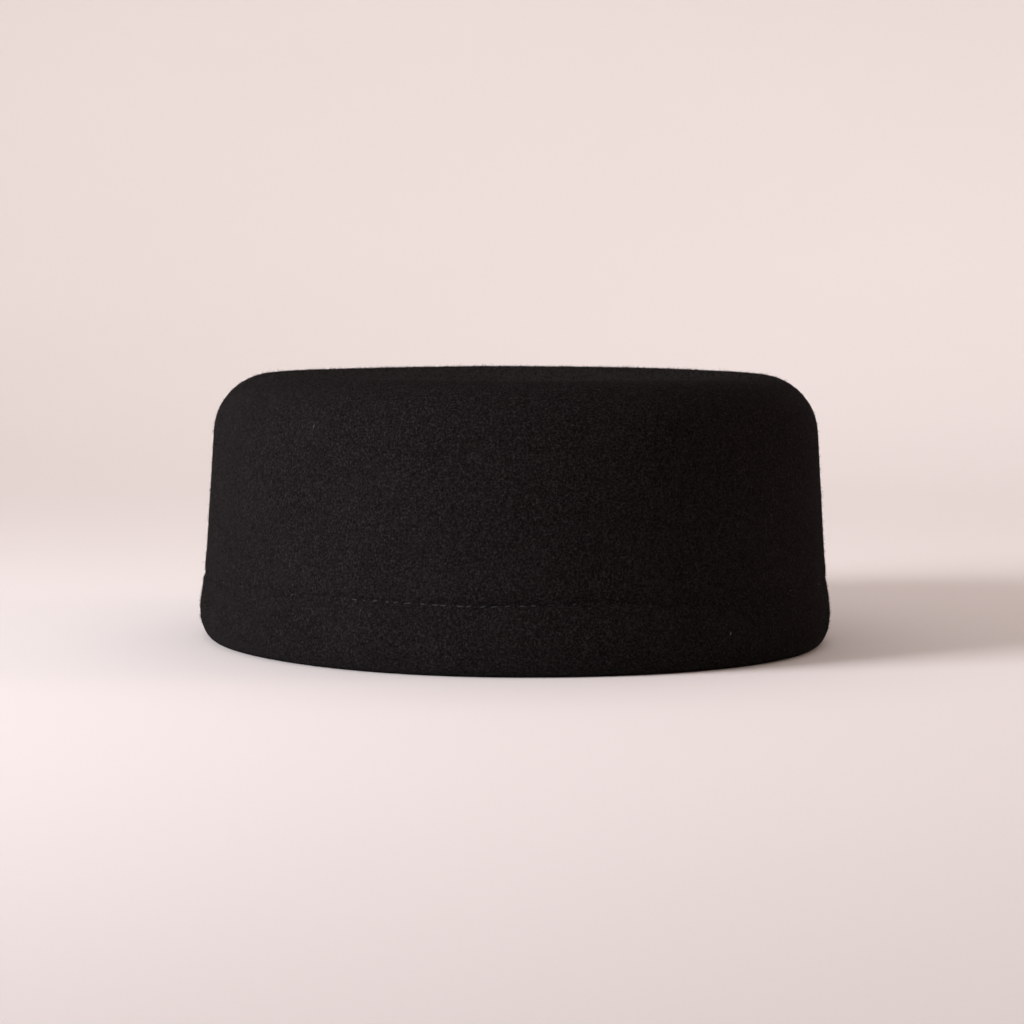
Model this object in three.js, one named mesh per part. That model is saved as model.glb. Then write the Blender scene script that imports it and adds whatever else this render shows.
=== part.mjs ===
// Pillbox hat of blocked felt. Millimetres, +Z up, resting on its rim, front towards -Y.
import * as THREE from 'three';

// Oval of the rim, measured outside at the widest part of the hem.
const RIM_WIDTH = 188;
const RIM_LENGTH = 220;
const OVAL_POWER = 2.06;

// Felt and overall height.
const FELT = 2.5;
const HEIGHT = 81;

// Top: a slight dome that rolls over a rounded edge.
const TOP_DOME = 1.6;
const TOP_EDGE_RADIUS = 18;

// Side wall: leans in towards the top, and is drawn in where the hem is sewn down.
const WALL_TAPER = 2.8;
const STITCH_HEIGHT = 19.5;
const CREASE_DEPTH = 0.5;
const CREASE_REACH = 5;

// Hem: turned under in a soft roll with a flattened underside.
const HEM_PUFF = 2;
const HEM_DEPTH = 10;
const HEM_WIDEST_HEIGHT = 8.5;
const REST_FLAT = 2.4;
const LAYER_GAP = 0.3;
const FACING_HEIGHT = 24;

// Band inside the rim. Its lower edge stands away from the hem beside the loop.
const BAND_THICKNESS = 2;
const BAND_HEIGHT = 25;
const BAND_FOOT = 2.4;
const BAND_STAND_OFF = 4.7;
const STAND_OFF_HEIGHT = 22;
const OPEN_TOWARDS_FRONT = 24;
const OPEN_TOWARDS_BACK = 9;

// Cord loop between hem and band, on the wearer's right and a little behind the middle.
const LOOP_ANGLE = THREE.MathUtils.degToRad(170);
const LOOP_CORD = 1.7;
const LOOP_ROUTE = [
  { back: 0.2, inset: 10.9, z: 4.6 },
  { back: 0.2, inset: 10.75, z: 3.2 },
  { back: 0.5, inset: 10.35, z: 2.0 },
  { back: 1.2, inset: 10.0, z: 1.3 },
  { back: 2.4, inset: 9.95, z: 1.12 },
  { back: 3.85, inset: 10.6, z: 1.12 },
  { back: 4.5, inset: 12.05, z: 1.12 },
  { back: 3.85, inset: 13.5, z: 1.12 },
  { back: 2.4, inset: 14.15, z: 1.12 },
  { back: 0.6, inset: 14.2, z: 1.12 },
  { back: -1.2, inset: 13.85, z: 1.12 },
  { back: -2.6, inset: 13.0, z: 1.5 },
  { back: -3.4, inset: 12.1, z: 2.9 },
  { back: -3.5, inset: 11.8, z: 4.6 },
];

// Finishes.
const BLACK_FELT = { color: 0x242122, roughness: 0.95, metalness: 0 };
const BLACK_RIBBON = { color: 0x1f1a19, roughness: 0.8, metalness: 0 };
const GREY_CORD = { color: 0x4a4546, roughness: 0.6, metalness: 0 };

// Facets.
const CROWN_STATIONS = 64;
const CROWN_STEPS = { edge: 7, wall: 3, crease: 2, puff: 4, roll: 5, facing: 3 };
const TOP_REACHES = [0.35, 0.7];
const BAND_STATIONS = 60;
const BAND_FINE_STATIONS = 30;
const BAND_ROUND_STEPS = 3;
const BAND_OUTER_STEPS = 3;
const BAND_INNER_STEPS = 2;
const LOOP_STEPS = 36;
const LOOP_SIDES = 8;

const QUARTER = Math.PI / 2;
const HALF_WIDTH = RIM_WIDTH / 2;
const HALF_LENGTH = RIM_LENGTH / 2;
const WALL_INSET = HEM_PUFF - CREASE_DEPTH;
const ROLL_REACH = (HEM_DEPTH - REST_FLAT) / 2;
const FACING_INSET = HEM_PUFF + 2 * FELT + LAYER_GAP;
const LOOP_RADIUS = Math.hypot(HALF_WIDTH * Math.sin(LOOP_ANGLE), HALF_LENGTH * Math.cos(LOOP_ANGLE));

function signedPower(value, power) {
  return Math.sign(value) * Math.abs(value) ** power;
}

// Point on the rim's oval and the outward direction there.
function rimOval(angle) {
  const x = HALF_WIDTH * signedPower(Math.cos(angle), 2 / OVAL_POWER);
  const y = HALF_LENGTH * signedPower(Math.sin(angle), 2 / OVAL_POWER);
  const slopeX = signedPower(x / HALF_WIDTH, OVAL_POWER - 1) / HALF_WIDTH;
  const slopeY = signedPower(y / HALF_LENGTH, OVAL_POWER - 1) / HALF_LENGTH;
  return {
    point: new THREE.Vector3(x, y, 0),
    outward: new THREE.Vector3(slopeX, slopeY, 0).normalize(),
  };
}

// A place given by its inset from the rim's oval, its height, and its reach from the middle.
function placed(angle, { inset, z, reach = 1 }) {
  const { point, outward } = rimOval(angle);
  return point.addScaledVector(outward, -inset).multiplyScalar(reach).setZ(z);
}

// Calls make(share) for shares evenly spaced from just after 0 up to 1.
function spread(steps, make) {
  return Array.from({ length: steps }, (_, i) => make((i + 1) / steps));
}

// Inset of the turned-in felt: it follows the roll up to its widest, then is drawn in towards the stitch line.
function facingInset(z) {
  const below = THREE.MathUtils.clamp(1 - z / HEM_WIDEST_HEIGHT, 0, 1);
  const rolled = ROLL_REACH * (1 - Math.sqrt(1 - below ** 2));
  const share = (z - HEM_WIDEST_HEIGHT) / (STITCH_HEIGHT - HEM_WIDEST_HEIGHT);
  const drawnIn = 1 - Math.cos(QUARTER * THREE.MathUtils.clamp(share, 0, 1));
  return HEM_DEPTH - rolled - (HEM_DEPTH - FACING_INSET) * drawnIn;
}

// Arc of the top edge, which leaves the wall at its lean and meets the dome at its slope.
function topEdge() {
  const wallRun = HEIGHT - TOP_EDGE_RADIUS - STITCH_HEIGHT;
  const lean = Math.atan2(WALL_TAPER, wallRun);
  const slope = Math.atan2(2 * TOP_DOME, HALF_WIDTH - TOP_EDGE_RADIUS);
  const centre = {
    inset: WALL_INSET + WALL_TAPER + TOP_EDGE_RADIUS * Math.cos(lean),
    z: HEIGHT - TOP_DOME - TOP_EDGE_RADIUS * Math.cos(slope),
  };
  const at = (angle) => ({
    inset: centre.inset - TOP_EDGE_RADIUS * Math.cos(angle),
    z: centre.z + TOP_EDGE_RADIUS * Math.sin(angle),
  });
  return { at, first: QUARTER - slope, last: lean };
}

// The felt's outer side, from the edge of the top down the wall, under the hem and up to the cut edge.
function outerSide() {
  const edge = topEdge();
  const wallTop = edge.at(edge.last);
  const wallFoot = STITCH_HEIGHT + CREASE_REACH;
  const wallInset = (z) => THREE.MathUtils.mapLinear(z, STITCH_HEIGHT, wallTop.z, WALL_INSET, wallTop.inset);
  const edgeArc = spread(CROWN_STEPS.edge, (share) => edge.at(edge.first + (edge.last - edge.first) * share));
  const wall = spread(CROWN_STEPS.wall, (share) => {
    const z = wallTop.z + (wallFoot - wallTop.z) * share;
    return { inset: wallInset(z), z };
  });
  const crease = spread(CROWN_STEPS.crease, (share) => {
    const z = wallFoot - CREASE_REACH * share;
    return { inset: wallInset(z) + CREASE_DEPTH * share ** 2, z };
  });
  const puff = spread(CROWN_STEPS.puff, (share) => ({
    inset: HEM_PUFF * (1 - Math.cos(QUARTER * (1 - share))),
    z: STITCH_HEIGHT + (HEM_WIDEST_HEIGHT - STITCH_HEIGHT) * share,
  }));
  const rollOut = spread(CROWN_STEPS.roll, (share) => ({
    inset: ROLL_REACH * (1 - Math.cos(QUARTER * share)),
    z: HEM_WIDEST_HEIGHT * (1 - Math.sin(QUARTER * share)),
  }));
  const flatEnd = { inset: HEM_DEPTH - ROLL_REACH, z: 0 };
  const rollIn = spread(CROWN_STEPS.roll, (share) => ({
    inset: HEM_DEPTH - ROLL_REACH * (1 - Math.sin(QUARTER * share)),
    z: HEM_WIDEST_HEIGHT * (1 - Math.cos(QUARTER * share)),
  }));
  const facing = spread(CROWN_STEPS.facing, (share) => {
    const z = HEM_WIDEST_HEIGHT + (STITCH_HEIGHT - HEM_WIDEST_HEIGHT) * share;
    return { inset: facingInset(z), z };
  });
  const cutEdge = { inset: FACING_INSET, z: FACING_HEIGHT };
  const body = [edge.at(edge.first), ...edgeArc, ...wall, ...crease];
  const hem = [...puff, ...rollOut, flatEnd, ...rollIn, ...facing, cutEdge];
  return [...body, ...hem];
}

// The felt's other side: every point moved through the felt, square to the line through its neighbours.
function throughFelt(side) {
  return side.map(({ inset, z }, i) => {
    const before = side[Math.max(i - 1, 0)];
    const after = side[Math.min(i + 1, side.length - 1)];
    const along = new THREE.Vector2(before.inset - after.inset, after.z - before.z).normalize();
    return { inset: inset - along.y * FELT, z: z - along.x * FELT };
  });
}

// Rings across the top between its middle and its edge.
function topRings(edge) {
  const rise = (reach) => TOP_DOME * (1 - reach ** 2);
  return TOP_REACHES.map((reach) => ({ inset: edge.inset, z: edge.z + rise(reach), reach }));
}

// Quads between two rings of vertices, split into triangles.
function ringTriangles(from, to, stations) {
  return Array.from({ length: stations }, (_, i) => {
    const next = (i + 1) % stations;
    return [from + i, to + i, to + next, from + i, to + next, from + next];
  }).flat();
}

function meshGeometry(points, triangles) {
  const geometry = new THREE.BufferGeometry().setFromPoints(points);
  geometry.setIndex(triangles);
  geometry.computeVertexNormals();
  return geometry;
}

// Crown: outer side from the middle of the top to the cut edge, then back up inside to the middle.
function crownGeometry() {
  const outer = outerSide();
  const inner = throughFelt(outer);
  const rings = [...topRings(outer[0]), ...outer, ...inner.reverse(), ...topRings(inner.at(-1)).reverse()];
  const angles = Array.from({ length: CROWN_STATIONS }, (_, i) => (2 * Math.PI * i) / CROWN_STATIONS);
  const points = rings.flatMap((ring) => angles.map((angle) => placed(angle, ring)));
  const outerMiddle = points.push(new THREE.Vector3(0, 0, HEIGHT)) - 1;
  const innerMiddle = points.push(new THREE.Vector3(0, 0, HEIGHT - FELT)) - 1;
  const triangles = [];
  for (let i = 0; i < CROWN_STATIONS; i += 1) {
    const next = (i + 1) % CROWN_STATIONS;
    const lastRing = (rings.length - 1) * CROWN_STATIONS;
    triangles.push(outerMiddle, i, next, innerMiddle, lastRing + next, lastRing + i);
  }
  for (let r = 0; r + 1 < rings.length; r += 1) {
    triangles.push(...ringTriangles(r * CROWN_STATIONS, (r + 1) * CROWN_STATIONS, CROWN_STATIONS));
  }
  return meshGeometry(points, triangles);
}

// Distance along the rim from the loop, positive towards the front.
function alongFromLoop(angle) {
  const turn = angle - LOOP_ANGLE;
  return LOOP_RADIUS * Math.atan2(Math.sin(turn), Math.cos(turn));
}

// How far the band stands away from the hem: most at the loop and at the lower edge.
function bandStandOff(angle, z) {
  const along = alongFromLoop(angle);
  const reach = along > 0 ? OPEN_TOWARDS_FRONT : OPEN_TOWARDS_BACK;
  const open = THREE.MathUtils.smoothstep(reach - Math.abs(along), 0, reach);
  return BAND_STAND_OFF * open * Math.max(0, 1 - z / STAND_OFF_HEIGHT);
}

// Band's section: its two sides follow the turned-in felt between rounded upper and lower edges.
function bandSection() {
  const radius = BAND_THICKNESS / 2;
  const low = BAND_FOOT + radius;
  const high = BAND_FOOT + BAND_HEIGHT - radius;
  const middle = (z) => facingInset(z) + LAYER_GAP + radius;
  const rounded = (z, first) => [0, ...spread(BAND_ROUND_STEPS, (share) => share)].map((share) => ({
    inset: middle(z) + radius * Math.cos(first + Math.PI * share),
    z: z + radius * Math.sin(first + Math.PI * share),
  }));
  const at = (z, across) => ({ inset: middle(z) + across, z });
  const outerSideDown = spread(BAND_OUTER_STEPS, (share) => (
    at(STITCH_HEIGHT + (HEM_WIDEST_HEIGHT - STITCH_HEIGHT) * share, -radius)
  ));
  const rollMiddle = at((HEM_WIDEST_HEIGHT + low) / 2, -radius);
  const innerSideFoot = at(HEM_WIDEST_HEIGHT, radius);
  const innerSideUp = spread(BAND_INNER_STEPS, (share) => (
    at(HEM_WIDEST_HEIGHT + (STITCH_HEIGHT - HEM_WIDEST_HEIGHT) * share, radius)
  ));
  const outer = [...outerSideDown, rollMiddle];
  const inner = [innerSideFoot, ...innerSideUp];
  return [...rounded(high, 0), ...outer, ...rounded(low, Math.PI), ...inner];
}

// Stations round the band, closer together where it stands away beside the loop.
function bandAngles() {
  const spacing = (2 * Math.PI) / BAND_STATIONS;
  const first = LOOP_ANGLE - OPEN_TOWARDS_BACK / LOOP_RADIUS;
  const last = LOOP_ANGLE + OPEN_TOWARDS_FRONT / LOOP_RADIUS;
  const fine = spread(BAND_FINE_STATIONS, (share) => first + (last - first) * share);
  const coarse = spread(BAND_STATIONS, (share) => 2 * Math.PI * share);
  const clear = coarse.filter((angle) => angle < first - spacing / 2 || angle > last + spacing / 2);
  return [...clear, ...fine].sort((a, b) => a - b);
}

function bandGeometry() {
  const angles = bandAngles();
  const section = bandSection();
  const points = section.flatMap(({ inset, z }) => (
    angles.map((angle) => placed(angle, { inset: inset + bandStandOff(angle, z), z }))
  ));
  const triangles = section.flatMap((_, r) => (
    ringTriangles(r * angles.length, ((r + 1) % section.length) * angles.length, angles.length)
  ));
  return meshGeometry(points, triangles);
}

// Loop: a round cord along the route, which is measured from the rim at the loop's angle.
function loopGeometry() {
  const { point, outward } = rimOval(LOOP_ANGLE);
  const towardsBack = new THREE.Vector3(outward.y, -outward.x, 0);
  const route = LOOP_ROUTE.map(({ back, inset, z }) => (
    point.clone().addScaledVector(outward, -inset).addScaledVector(towardsBack, back).setZ(z)
  ));
  const section = new THREE.Shape(
    new THREE.EllipseCurve(0, 0, LOOP_CORD / 2, LOOP_CORD / 2).getPoints(LOOP_SIDES).slice(0, LOOP_SIDES),
  );
  return new THREE.ExtrudeGeometry(section, {
    steps: LOOP_STEPS,
    extrudePath: new THREE.CatmullRomCurve3(route),
  });
}

function piece(name, geometry, finish) {
  const mesh = new THREE.Mesh(geometry, new THREE.MeshStandardMaterial(finish));
  mesh.name = name;
  return mesh;
}

const hat = new THREE.Group();
hat.add(piece('felt_crown', crownGeometry(), BLACK_FELT));
hat.add(piece('inner_band', bandGeometry(), BLACK_RIBBON));
hat.add(piece('side_loop', loopGeometry(), GREY_CORD));

export default hat;
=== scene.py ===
import math

import bpy
import numpy as np
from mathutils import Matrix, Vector


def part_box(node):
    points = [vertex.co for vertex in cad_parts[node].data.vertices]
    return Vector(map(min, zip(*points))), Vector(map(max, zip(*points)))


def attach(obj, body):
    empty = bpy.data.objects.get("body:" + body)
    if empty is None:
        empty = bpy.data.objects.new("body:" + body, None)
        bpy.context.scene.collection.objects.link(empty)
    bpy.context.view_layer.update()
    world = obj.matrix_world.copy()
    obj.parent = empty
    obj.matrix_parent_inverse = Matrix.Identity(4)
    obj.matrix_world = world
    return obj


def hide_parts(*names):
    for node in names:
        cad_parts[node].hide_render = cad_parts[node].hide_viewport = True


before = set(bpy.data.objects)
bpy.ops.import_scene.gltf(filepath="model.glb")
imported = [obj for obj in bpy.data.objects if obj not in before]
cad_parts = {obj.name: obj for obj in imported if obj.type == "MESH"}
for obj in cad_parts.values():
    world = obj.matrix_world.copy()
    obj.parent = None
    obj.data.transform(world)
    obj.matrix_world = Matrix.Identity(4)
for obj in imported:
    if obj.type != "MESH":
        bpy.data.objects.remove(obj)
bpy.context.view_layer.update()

# A pillbox hat of black felt, standing on its rim. Lengths are in metres, in the hat's own frame: the
# front faces -Y, the wearer's right is -X, and the rim rests on the plane z = 0. Angles round the hat
# start at the wearer's left, +X, and go by the back, +Y.

MM = 0.001

# The hat's size, read from its solids
HALF_WIDTH, HALF_LENGTH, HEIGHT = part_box("felt_crown")[1]
band_low, band_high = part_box("inner_band")
BAND_BOTTOM = band_low[2]
BAND_TOP = band_high[2]
OVAL_POWER = 2.06

# The felt and its section
FELT = 2.5 * MM
TOP_DOME = 1.6 * MM
TOP_EDGE_RADIUS = 18 * MM
WALL_TAPER = 2.8 * MM
STITCH_HEIGHT = 19.5 * MM
CREASE_DEPTH = 0.5 * MM
CREASE_REACH = 5 * MM
HEM_PUFF = 2 * MM
HEM_DEPTH = 10 * MM
HEM_WIDEST = 8.5 * MM
REST_FLAT = 2.4 * MM
LAYER_GAP = 0.3 * MM
FACING_HEIGHT = 24 * MM

WALL_INSET = HEM_PUFF - CREASE_DEPTH
ROLL_REACH = (HEM_DEPTH - REST_FLAT) / 2
FACING_INSET = HEM_PUFF + 2 * FELT + LAYER_GAP
LEAN = math.atan2(WALL_TAPER, HEIGHT - TOP_EDGE_RADIUS - STITCH_HEIGHT)
SLOPE = math.atan2(2 * TOP_DOME, HALF_WIDTH - TOP_EDGE_RADIUS)
EDGE_INSET = WALL_INSET + WALL_TAPER + TOP_EDGE_RADIUS * math.cos(LEAN)
EDGE_Z = HEIGHT - TOP_DOME - TOP_EDGE_RADIUS * math.cos(SLOPE)
WALL_TOP = EDGE_Z + TOP_EDGE_RADIUS * math.sin(LEAN)

# How closely the section's rings lie: counts for its stretches, and heights about the stitch line
TOP_MIDDLE = 0.02
TOP_RINGS = 14
EDGE_RINGS = 12
WALL_RINGS = 12
WALL_RINGS_END = 27 * MM
SEAM_HEIGHTS = np.linspace(26.3, 13, 27) * MM
HEM_HEIGHTS = np.linspace(12, 8.5, 4) * MM
ROLL_RINGS = 9
FACING_RINGS = 8
BACK_RINGS = 14
# The cut edge of the turned-in hem: where its round begins, and its three rings across and down
CUT_ROUND = 0.8 * MM
CUT_ACROSS = np.array([0.12, 0.5, 0.88])
CUT_DOWN = np.array([0.15, 0, 0.15]) * MM

# Handmade unevenness: the fewest and most waves in a round, the largest swing, and the seed
SEAM_WANDER = (4, 12, 0.8 * MM, 5)
RIM_WANDER = (3, 8, 0.5 * MM, 11)
CROWN_WANDER = (2, 6, 0.7 * MM, 12)
HEM_WANDER = (5, 23, 0.7 * MM, 13)
TOP_WANDER = (2, 5, 1.6 * MM, 14)
BAND_WANDER = (6, 25, 0.5 * MM, 15)
LEAST_WAVE = 0.4

# The hand sewing of the hem
STITCH_PITCH = 3.5 * MM
STITCH_SHARE = 0.54
STITCH_STRAY = 0.2
STITCH_SIZES = (0.7, 1.25)
STITCH_SPREAD = 1.0 * MM
STITCH_RINGS = 7
STITCH_SIDES = 6
STITCH_STATIONS = 4
SEWING_SEED = 41
THREAD = 0.45 * MM
GROOVE_DEPTH = 0.3 * MM
GROOVE_WIDTH = 1.1 * MM
PUCKER = 0.35 * MM
SEAM_REACH = 6 * MM
SIDE_LOSS = 0.92
SIDE_EASE = 0.5 * MM
SIDE_EASE_WIDTH = 4 * MM
# How far a stitch's ends lie above and below the line, and how much that varies, in mm
STITCH_TILT = 0.1
TILT_STRAY = 0.2
# Where it shows: the angles of the tightest sewing and of the clearest stitches, and how far they reach
FRONT = math.radians(252)
FRONT_REACH = math.radians(75)
SHOWN_AT = math.radians(241)
SHOWN_REACH = math.radians(36)
BACK_REACH = math.radians(100)
BACK_SHARE = 0.15
# How deep the stitches lie, in threads, and the share of them that the felt has closed over
STITCH_RISE = 0.3
END_DIP = 0.5
END_TAPER = 0.75
SIDE_SINK = 0.6
SINK_STRAY = (-0.2, 0.4)
LOST_SINK = 0.4
LOST_AT_FRONT = 0.08
LOST_AT_SIDES = 0.4

# The band inside the rim
BAND_THICKNESS = 2 * MM
BAND_STAND_OFF = 4.7 * MM
STAND_OFF_HEIGHT = 22 * MM
OPEN_TOWARDS_FRONT = 24 * MM
OPEN_TOWARDS_BACK = 9 * MM
BAND_SIDE_RINGS = 13
BAND_EDGE_RINGS = 7
BAND_WAVE_REACH = 6 * MM
BAND_LIFT = 0.25 * MM
RIB_PITCH = 1.3 * MM
RIB_HEIGHT = 0.16 * MM
RIB_FADE = 2 * MM
RIB_AT_EDGE = 0.3
RIB_STATIONS = 4
RIBBON_THREAD = 0.9 * MM

# The cord loop sewn in behind the hem
LOOP_ANGLE = math.radians(170)
LOOP_RADIUS = math.hypot(HALF_WIDTH * math.sin(LOOP_ANGLE), HALF_LENGTH * math.cos(LOOP_ANGLE))
LOOP_CORD = 1.7 * MM
LOOP_FULLNESS = 1.04
LOOP_SIDES = 16
LOOP_STEPS = 12
PLIES = 2
PLY_LAY = 2.6 * MM
PLY_GROOVE = 0.2
# Its route in mm: distance behind its place, inset from the rim's oval, height
LOOP_ROUTE = np.array([
    (0.2, 10.9, 4.6), (0.2, 10.75, 3.2), (0.5, 10.35, 2.0), (1.2, 10.0, 1.3), (2.4, 9.95, 1.12),
    (3.85, 10.6, 1.12), (4.5, 12.05, 1.12), (3.85, 13.5, 1.12), (2.4, 14.15, 1.12), (0.6, 14.2, 1.12),
    (-1.2, 13.85, 1.12), (-2.6, 13.0, 1.5), (-3.4, 12.1, 2.9), (-3.5, 11.8, 4.6),
]) * MM

# The nap: fibres of this size, each with a spread of curls, lifts, falls and lengths
NAP_LENGTH = 0.85 * MM
NAP_THICKNESS = 0.085 * MM
NAP_TAPER = 0.85
NAP_CURL = 0.9
NAP_LIFT = (0.35, 0.4)
NAP_FALL = (0.1, 1.5)
NAP_UNEVEN = 0.3
NAP_LOWEST = 2.5 * MM
NAP_TOP_SHARE = 0.6

# Pale lint: angle and height on the outside, the way each fibre lies and its bend, in degrees and mm
DEGREE = math.pi / 180
LINT_UNITS = (DEGREE, MM, DEGREE, DEGREE)
LINT = np.array([(217, 66, 70, 80), (304, 15, 100, -60), (293, 9.6, 60, 40)]) * LINT_UNITS
LINT_LENGTH = 1.1 * MM
LINT_THICKNESS = 0.14 * MM
LINT_RINGS = 9
LINT_SIDES = 5
LINT_LIFT = (0.4, 1.2)
LINT_ENDS = 1.02

# The flat maps: the margins of a strip, a cell and the felt, the room for a cord's end caps, and the
# part of the felt's map that the hidden side has
STRIP_MARGIN = 0.01
CELL_MARGIN = 0.06
FELT_MARGIN = 0.02
FAN_EDGE = 0.008
CAP = 0.06
FELT_STRIPS = 2
BAND_STRIPS = 6
FACING_MAPPED = 24
HIDDEN_SHARE = 0.25

# The view, as in the photograph from the side, and as low as the floor lets it be
AZIMUTH = -13
ELEVATION = 4
DISTANCE = 0.9
LENS = 104
AIM = Vector((0, 0, 0.46 * HEIGHT))


def direction(azimuth, elevation):
    """The way from the hat to a place at that azimuth and elevation, in degrees: a unit vector."""
    a, e = math.radians(azimuth), math.radians(elevation)
    return Vector((math.sin(a) * math.cos(e), -math.cos(a) * math.cos(e), math.sin(e)))


camera_data = bpy.data.cameras.new("camera")
camera_data.lens = LENS
camera = bpy.data.objects.new("camera", camera_data)
bpy.context.collection.objects.link(camera)
camera.location = AIM + DISTANCE * direction(AZIMUTH, ELEVATION)
camera.rotation_euler = (AIM - camera.location).to_track_quat("-Z", "Y").to_euler()
bpy.context.scene.camera = camera


# Shapes

def eased(x):
    """A soft step from 0 to 1: 3x^2 - 2x^3, with x held between 0 and 1."""
    x = np.clip(x, 0, 1)
    return x * x * (3 - 2 * x)


def bell(x, width):
    """A bell of height 1 about 0: e to the power of minus the square of x over width."""
    return np.exp(-((x / width) ** 2))


def turn_from(angle, middle):
    """The way from the angle middle to the angle, the shorter way round, between -pi and pi."""
    return (angle - middle + np.pi) % (2 * np.pi) - np.pi


def even_turns(sides):
    """The angles of that many places spaced evenly round a circle."""
    return np.arange(sides) * 2 * np.pi / sides


def rim_oval(angle):
    """The rim's oval |x/a|^p + |y/b|^p = 1 at each angle: its points, and its outward directions, which
    are the gradient of that sum."""
    c, s = np.cos(angle), np.sin(angle)
    point = np.stack([HALF_WIDTH * np.sign(c) * np.abs(c) ** (2 / OVAL_POWER),
                      HALF_LENGTH * np.sign(s) * np.abs(s) ** (2 / OVAL_POWER)], -1)
    outward = np.stack([np.sign(c) * np.abs(c) ** (2 - 2 / OVAL_POWER) / HALF_WIDTH,
                        np.sign(s) * np.abs(s) ** (2 - 2 / OVAL_POWER) / HALF_LENGTH], -1)
    return point, outward / np.linalg.norm(outward, axis=-1, keepdims=True)


def on_hat(angle, inset, z, reach=1.0):
    """A place on the hat: the rim's oval moved in along its outward direction by inset, drawn towards
    the middle by the factor reach, at the height z. Arrays of any matching shapes."""
    angle, inset, z, reach = np.broadcast_arrays(angle, inset, z, reach)
    point, outward = rim_oval(angle)
    flat = (point - inset[..., None] * outward) * reach[..., None]
    return np.concatenate([flat, z[..., None]], -1)


def wander(angle, fewest, most, size, seed):
    """Slow handmade unevenness round the hat: cosines with the fewest to the most waves in a round, each
    with its own start and weight, added up so that the largest swing is size."""
    waves = np.arange(fewest, most + 1)
    chance = np.random.default_rng(seed)
    start = chance.uniform(0, 2 * np.pi, len(waves))
    weight = chance.uniform(LEAST_WAVE, 1, len(waves))
    return size * np.cos(np.multiply.outer(angle, waves) + start) @ weight / weight.sum()


# A fine table of the way along the stitch line, which spaces everything that goes round the hat
TABLE_ANGLE = np.linspace(0, 2 * np.pi, 20001)
TABLE_STEPS = np.diff(on_hat(TABLE_ANGLE, HEM_PUFF, STITCH_HEIGHT), axis=0)
TABLE_ALONG = np.concatenate([[0], np.cumsum(np.linalg.norm(TABLE_STEPS, axis=1))])
SEAM_LENGTH = TABLE_ALONG[-1]
STITCHES = round(SEAM_LENGTH / STITCH_PITCH)
RIBS = round(SEAM_LENGTH / RIB_PITCH)

# The stitches' places along it and half lengths
sewing = np.random.default_rng(SEWING_SEED)
stitch_stray = sewing.uniform(-STITCH_STRAY, STITCH_STRAY, STITCHES)
STITCH_AT = (np.arange(STITCHES) + 0.5 + stitch_stray) * SEAM_LENGTH / STITCHES
STITCH_HALF = 0.5 * STITCH_SHARE * STITCH_PITCH * sewing.uniform(*STITCH_SIZES, STITCHES)


def angle_at(along):
    """The angle of a place given by its distance along the stitch line, read from the table."""
    return np.interp(np.mod(along, SEAM_LENGTH), TABLE_ALONG, TABLE_ANGLE)


def stitch_pull(along):
    """How hard the nearest stitch pulls the felt in: a bell about its middle."""
    gap = np.abs(along[..., None] - STITCH_AT)
    gap = np.minimum(gap, SEAM_LENGTH - gap).min(axis=-1)
    return bell(gap, STITCH_SPREAD)


def away_from(angle, middle, reach):
    """0 at the angle middle, rising in a soft step to 1 over the angle reach on either side."""
    return eased(np.abs(turn_from(angle, middle)) / reach)


def to_the_sides(angle, front, reach):
    """0 at the angle front, rising in a soft step to 1 at the sides, and BACK_SHARE opposite it."""
    back = away_from(angle, front + np.pi, BACK_REACH)
    return away_from(angle, front, reach) * (BACK_SHARE + (1 - BACK_SHARE) * back)


def away_from_front(angle):
    """0 where the seam is sewn tightest, at the front, 1 at the sides and less again at the back."""
    return to_the_sides(angle, FRONT, FRONT_REACH)


def seam_groove(angle, along):
    """How deep the groove of the stitch line is: an even depth and the pull of each stitch, both less
    by the square of the way to the sides."""
    tight = 1 - SIDE_LOSS * away_from_front(angle) ** 2
    return (GROOVE_DEPTH + PUCKER * stitch_pull(along)) * tight


def seam_height(angle):
    """The stitch line's height, which wanders a little as a line sewn by hand does."""
    return STITCH_HEIGHT + wander(angle, *SEAM_WANDER)


def blocking(angle, z):
    """How far the blocked wall stands out or in: one slow wander at the rim and one at the top, mixed
    by height."""
    up = np.clip(z / HEIGHT, 0, 1)
    return wander(angle, *RIM_WANDER) * (1 - up) + wander(angle, *CROWN_WANDER) * up


def hem_swell(angle, z):
    """How far the soft hem swells or sinks between rim and stitch line: a wander times a half sine,
    full at half the hem's height."""
    share = np.clip(z / STITCH_HEIGHT, 0, 1)
    return wander(angle, *HEM_WANDER) * np.sin(np.pi * share)


def above_widest(z):
    """How far up a height is from the hem's widest place to the stitch line, from 0 to 1."""
    return np.clip((z - HEM_WIDEST) / (STITCH_HEIGHT - HEM_WIDEST), 0, 1)


def wall_inset(z):
    """The outside from the top's rounded edge down to the hem's widest height: a straight wall that
    leans in, an extra pull-in that grows with the square of the way to the stitch line, and a quarter
    cosine out to the puff."""
    share = np.clip((WALL_TOP - z) / (WALL_TOP - STITCH_HEIGHT), 0, 1)
    crease = np.clip(1 - (z - STITCH_HEIGHT) / CREASE_REACH, 0, 1)
    wall = WALL_INSET + WALL_TAPER * (1 - share) + CREASE_DEPTH * crease ** 2
    puff = HEM_PUFF * (1 - np.cos(np.pi / 2 * above_widest(z)))
    return np.where(z < STITCH_HEIGHT, puff, wall)


def outside_inset(z):
    """The outside above the hem's widest: the wall, and over it the round of the top's edge."""
    over = np.clip((z - EDGE_Z) / TOP_EDGE_RADIUS, 0, 1)
    edge = EDGE_INSET - TOP_EDGE_RADIUS * np.sqrt(1 - over ** 2)
    return np.where(z > WALL_TOP, edge, wall_inset(z))


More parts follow.
